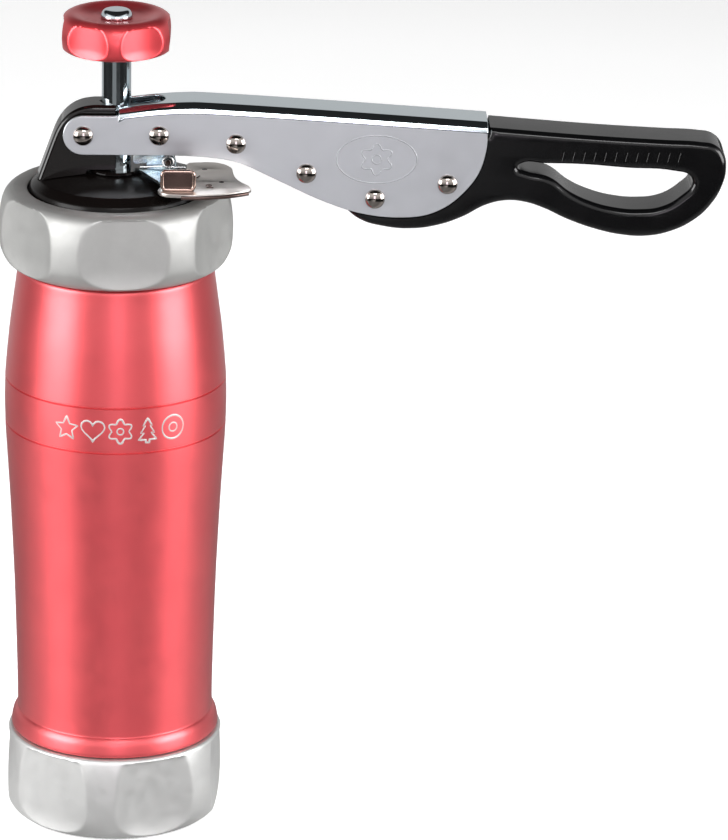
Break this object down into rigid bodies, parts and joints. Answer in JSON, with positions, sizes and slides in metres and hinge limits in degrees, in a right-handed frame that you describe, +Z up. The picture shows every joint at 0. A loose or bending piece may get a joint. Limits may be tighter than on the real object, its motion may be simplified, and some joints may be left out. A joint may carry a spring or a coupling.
{
  "type": "hand-lever cookie press",
  "caption": "Hand cookie press: a turned barrel between two screw-on ring nuts, with a ratchet plunger, a finger knob and a riveted lever handle.",
  "frame": {"origin": "centre of the bounding box on the plane the press stands on", "axes": "+Z up along the barrel from the die end to the knob, +X the way the lever handle points, +Y away from the side with the dose regulator"},
  "size_m": [0.1993, 0.0624, 0.2333],
  "materials": {
    "red_anodised": "satin red anodised",
    "satin_aluminium": "satin",
    "chrome": "polished chrome",
    "nickel": "bright nickel",
    "zinc_plate": "blue zinc",
    "spring_steel": "bright",
    "black_enamel": "gloss",
    "black_plastic": "gloss",
    "seal_plastic": "matt"
  },
  "bodies": {
    "foot": {"lower_ring_nut": "satin_aluminium"},
    "die": {"die_disc": "satin_aluminium"},
    "barrel": {"barrel": "red_anodised"},
    "head": {"cap": "black_enamel", "rod_guide": "nickel", "lever_bracket": "black_enamel", "pawl_bracket": "zinc_plate", "holding_pawl_pin": "nickel", "regulator_rivet": "nickel"},
    "upper_ring": {"upper_ring_nut": "satin_aluminium"},
    "piston": {"piston_plate": "satin_aluminium", "piston_seal": "seal_plastic"},
    "plunger_rod": {"ratchet_rod": "chrome", "knob": "red_anodised", "knob_dome_screw": "chrome", "piston_screw": "nickel"},
    "lever": {"lever_channel": "chrome", "handle_grip": "black_plastic", "spacer_tube": "zinc_plate", "pivot_rivet": "nickel", "pawl_rivet": "nickel", "spacer_rivet": "nickel", "grip_rivet_rear": "nickel", "grip_rivet_middle": "nickel", "grip_rivet_front": "nickel"},
    "drive_pawl": {"drive_pawl": "zinc_plate", "drive_pawl_spring": "spring_steel"},
    "holding_pawl": {"holding_pawl": "zinc_plate", "holding_pawl_spring": "spring_steel"},
    "regulator": {"dose_regulator": "nickel"}
  },
  "joints": [
    {"name": "barrel_turn", "type": "hinge", "parent": "foot", "child": "die", "pos_m": [-0.0675, 0, 0.0044], "axis": [0, 0, 1], "range_deg": [0, 1440]},
    {"name": "barrel_rise", "type": "slide", "parent": "die", "child": "barrel", "axis": [0, 0, 1], "range_m": [0, 0.016]},
    {"name": "head_rise", "type": "slide", "parent": "barrel", "child": "head", "axis": [0, 0, 1], "range_m": [0, 0.016]},
    {"name": "upper_ring_turn", "type": "hinge", "parent": "head", "child": "upper_ring", "pos_m": [-0.0675, 0, 0.18], "axis": [0, 0, 1], "range_deg": [0, 1440]},
    {"name": "plunger_slide", "type": "slide", "parent": "head", "child": "piston", "axis": [0, 0, 1], "range_m": [-0.0135, 0.148]},
    {"name": "plunger_turn", "type": "hinge", "parent": "piston", "child": "plunger_rod", "pos_m": [-0.0675, 0, 0.029], "axis": [0, 0, 1], "range_deg": [-90, 90]},
    {"name": "lever_swing", "type": "hinge", "parent": "head", "child": "lever", "pos_m": [-0.0765, 0, 0.1995], "axis": [0, -1, 0], "range_deg": [0, 28]},
    {"name": "drive_pawl_swing", "type": "hinge", "parent": "lever", "child": "drive_pawl", "pos_m": [-0.0558, 0, 0.1997], "axis": [0, -1, 0], "range_deg": [0, 20], "stiffness_Nm_per_rad": 0.01, "deforming": ["drive_pawl_spring"]},
    {"name": "holding_pawl_swing", "type": "hinge", "parent": "head", "child": "holding_pawl", "pos_m": [-0.0533, 0, 0.1916], "axis": [0, 1, 0], "range_deg": [0, 15], "stiffness_Nm_per_rad": 0.01, "deforming": ["holding_pawl_spring"]},
    {"name": "regulator_turn", "type": "hinge", "parent": "head", "child": "regulator", "pos_m": [-0.0503, -0.01, 0.1881], "axis": [0, 0, 1], "range_deg": [-18, 0]}
  ],
  "couplings": [
    {"joint": "barrel_rise", "follows": "barrel_turn", "m_per_rad": 0.00063662},
    {"joint": "upper_ring_turn", "follows": "head_rise", "rad_per_m": 1570.8}
  ]
}
